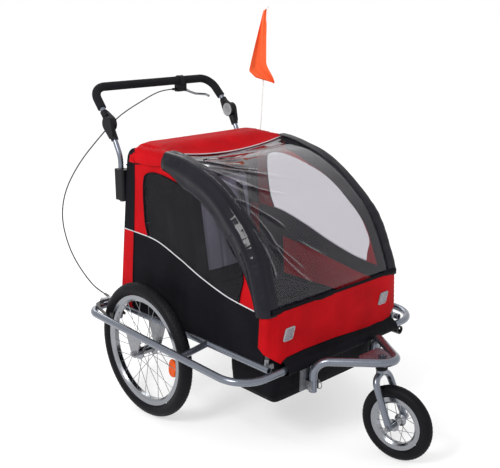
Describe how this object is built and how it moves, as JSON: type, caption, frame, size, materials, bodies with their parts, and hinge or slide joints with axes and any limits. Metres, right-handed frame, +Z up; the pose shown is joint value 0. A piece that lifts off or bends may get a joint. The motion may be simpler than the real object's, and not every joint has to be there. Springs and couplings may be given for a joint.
{
  "type": "child bicycle trailer",
  "caption": "Child bicycle trailer with a fabric cabin on spoked wheels, a castor wheel on a front arm and a braked push handle.",
  "frame": {"origin": "on the ground under the middle of the trailer's box, the cable left out", "axes": "+Z up, -Y the way it rolls forward, +X the trailer's left side"},
  "size_m": [0.939, 1.4033, 1.446],
  "materials": {
    "frame_paint": "silver-grey gloss paint on steel tube",
    "zinc_steel": "zinc-plated steel",
    "hoop_paint": "black powder coat, hidden in the fabric",
    "black_plastic": "moulded black nylon",
    "grey_plastic": "moulded silver-grey nylon",
    "alloy": "polished aluminium",
    "black_alloy": "black painted alloy",
    "foam": "black closed-cell foam sleeve",
    "tyre": "black tyre rubber",
    "red_fabric": "red coated polyester",
    "side_fabric": "red and black coated polyester with a clear window",
    "black_fabric": "black coated polyester",
    "clear_pvc": "clear glossy PVC film",
    "reflector": "prismatic clear reflector",
    "flag_fabric": "fluorescent orange pennant cloth",
    "white_rod": "white glass-fibre rod",
    "cable": "black plastic-sheathed brake cable"
  },
  "bodies": {
    "chassis": {"guard_tube_right": "frame_paint", "guard_tube_left": "frame_paint", "front_crossbar": "frame_paint", "side_rail_right": "frame_paint", "side_rail_left": "frame_paint", "frame_crossbars": "frame_paint", "wheel_dropouts": "zinc_steel", "hoop_brackets": "zinc_steel", "side_hoop_right": "hoop_paint", "side_hoop_left": "hoop_paint", "roof_spreader_bars": "hoop_paint", "handle_clamps": "black_plastic", "handle_stems": "frame_paint", "tilt_hubs_fixed": "black_plastic", "rear_axles": "zinc_steel", "axle_nuts": "zinc_steel", "front_arm": "frame_paint", "arm_brackets": "zinc_steel", "swivel_head": "black_plastic", "brake_pivot": "zinc_steel", "roof_cover": "red_fabric", "side_panel_right": "side_fabric", "side_panel_left": "side_fabric", "rear_panel": "black_fabric", "front_panel": "red_fabric", "front_cover": "clear_pvc", "floor_tub": "black_fabric", "seat": "black_fabric", "reflectors": "reflector", "flag_pole": "white_rod", "flag": "flag_fabric", "flag_socket": "black_plastic", "tow_receiver": "black_alloy", "brake_cable": "cable"},
    "handlebar": {"tilt_hubs_moving": "grey_plastic", "handle_tube": "frame_paint", "foam_grip": "foam", "brake_lever_bracket": "black_plastic"},
    "lever": {"brake_lever": "alloy"},
    "button_right": {"tilt_button_right": "grey_plastic"},
    "button_left": {"tilt_button_left": "grey_plastic"},
    "caliper_outer": {"brake_arm_outer": "black_alloy"},
    "caliper_inner": {"brake_arm_inner": "black_alloy"},
    "pin_right": {"lock_pin_right": "zinc_steel"},
    "pin_left": {"lock_pin_left": "zinc_steel"},
    "wheel_right": {"right_tyre": "tyre", "right_rim": "alloy", "right_spokes": "zinc_steel", "right_hub": "alloy"},
    "wheel_left": {"left_tyre": "tyre", "left_rim": "alloy", "left_spokes": "zinc_steel", "left_hub": "alloy"},
    "castor": {"fork": "frame_paint", "front_axle": "zinc_steel"},
    "castor_wheel": {"front_tyre": "tyre", "front_rim": "alloy", "front_spokes": "zinc_steel", "front_hub": "alloy"},
    "hem": {"cover_hem": "black_plastic"}
  },
  "joints": [
    {"name": "handlebar_tilt", "type": "hinge", "parent": "chassis", "child": "handlebar", "pos_m": [0, 0.562, 1.026], "axis": [1, 0, 0], "range_deg": [-55, 60], "deforming": ["brake_cable"]},
    {"name": "brake_lever_pull", "type": "hinge", "parent": "handlebar", "child": "lever", "pos_m": [0.152, 0.681, 1.111], "axis": [0, -1, 0], "range_deg": [0, 15], "stiffness_Nm_per_rad": 0.8, "springref_deg": -8.59},
    {"name": "tilt_button_right_press", "type": "slide", "parent": "handlebar", "child": "button_right", "axis": [-1, 0, 0], "range_m": [0, 0.003], "stiffness_N_per_m": 400, "springref_m": -0.002},
    {"name": "tilt_button_left_press", "type": "slide", "parent": "handlebar", "child": "button_left", "axis": [1, 0, 0], "range_m": [0, 0.003], "stiffness_N_per_m": 400, "springref_m": -0.002},
    {"name": "caliper_outer_squeeze", "type": "hinge", "parent": "chassis", "child": "caliper_outer", "pos_m": [-0.397, 0.53, 0.34], "axis": [0, -0.306, 0.952], "range_deg": [0, 1.25]},
    {"name": "caliper_inner_squeeze", "type": "hinge", "parent": "chassis", "child": "caliper_inner", "pos_m": [-0.397, 0.53, 0.34], "axis": [0, 0.306, -0.952], "range_deg": [0, 1.25]},
    {"name": "lock_pin_right_pull", "type": "slide", "parent": "chassis", "child": "pin_right", "axis": [1, 0, 0], "range_m": [0, 0.04]},
    {"name": "lock_pin_left_pull", "type": "slide", "parent": "chassis", "child": "pin_left", "axis": [-1, 0, 0], "range_m": [0, 0.04]},
    {"name": "rear_wheel_right_spin", "type": "hinge", "parent": "chassis", "child": "wheel_right", "pos_m": [-0.397, 0.25, 0.25], "axis": [1, 0, 0], "continuous": true},
    {"name": "rear_wheel_left_spin", "type": "hinge", "parent": "chassis", "child": "wheel_left", "pos_m": [0.397, 0.25, 0.25], "axis": [1, 0, 0], "continuous": true},
    {"name": "castor_swivel", "type": "hinge", "parent": "chassis", "child": "castor", "pos_m": [0, -0.507, 0.3], "axis": [0, 0, 1], "continuous": true},
    {"name": "castor_wheel_spin", "type": "hinge", "parent": "castor", "child": "castor_wheel", "pos_m": [0.00747, -0.57258, 0.13], "axis": [0.9936, 0.1132, 0], "continuous": true},
    {"name": "front_cover_roll", "type": "hinge", "parent": "chassis", "child": "hem", "pos_m": [0, 0.1963, 0.4563], "axis": [-1, 0, 0], "range_deg": [0, 78], "deforming": ["front_cover"]}
  ],
  "couplings": [
    {"joint": "caliper_outer_squeeze", "follows": "brake_lever_pull", "ratio": 0.08},
    {"joint": "caliper_inner_squeeze", "follows": "brake_lever_pull", "ratio": 0.08}
  ]
}
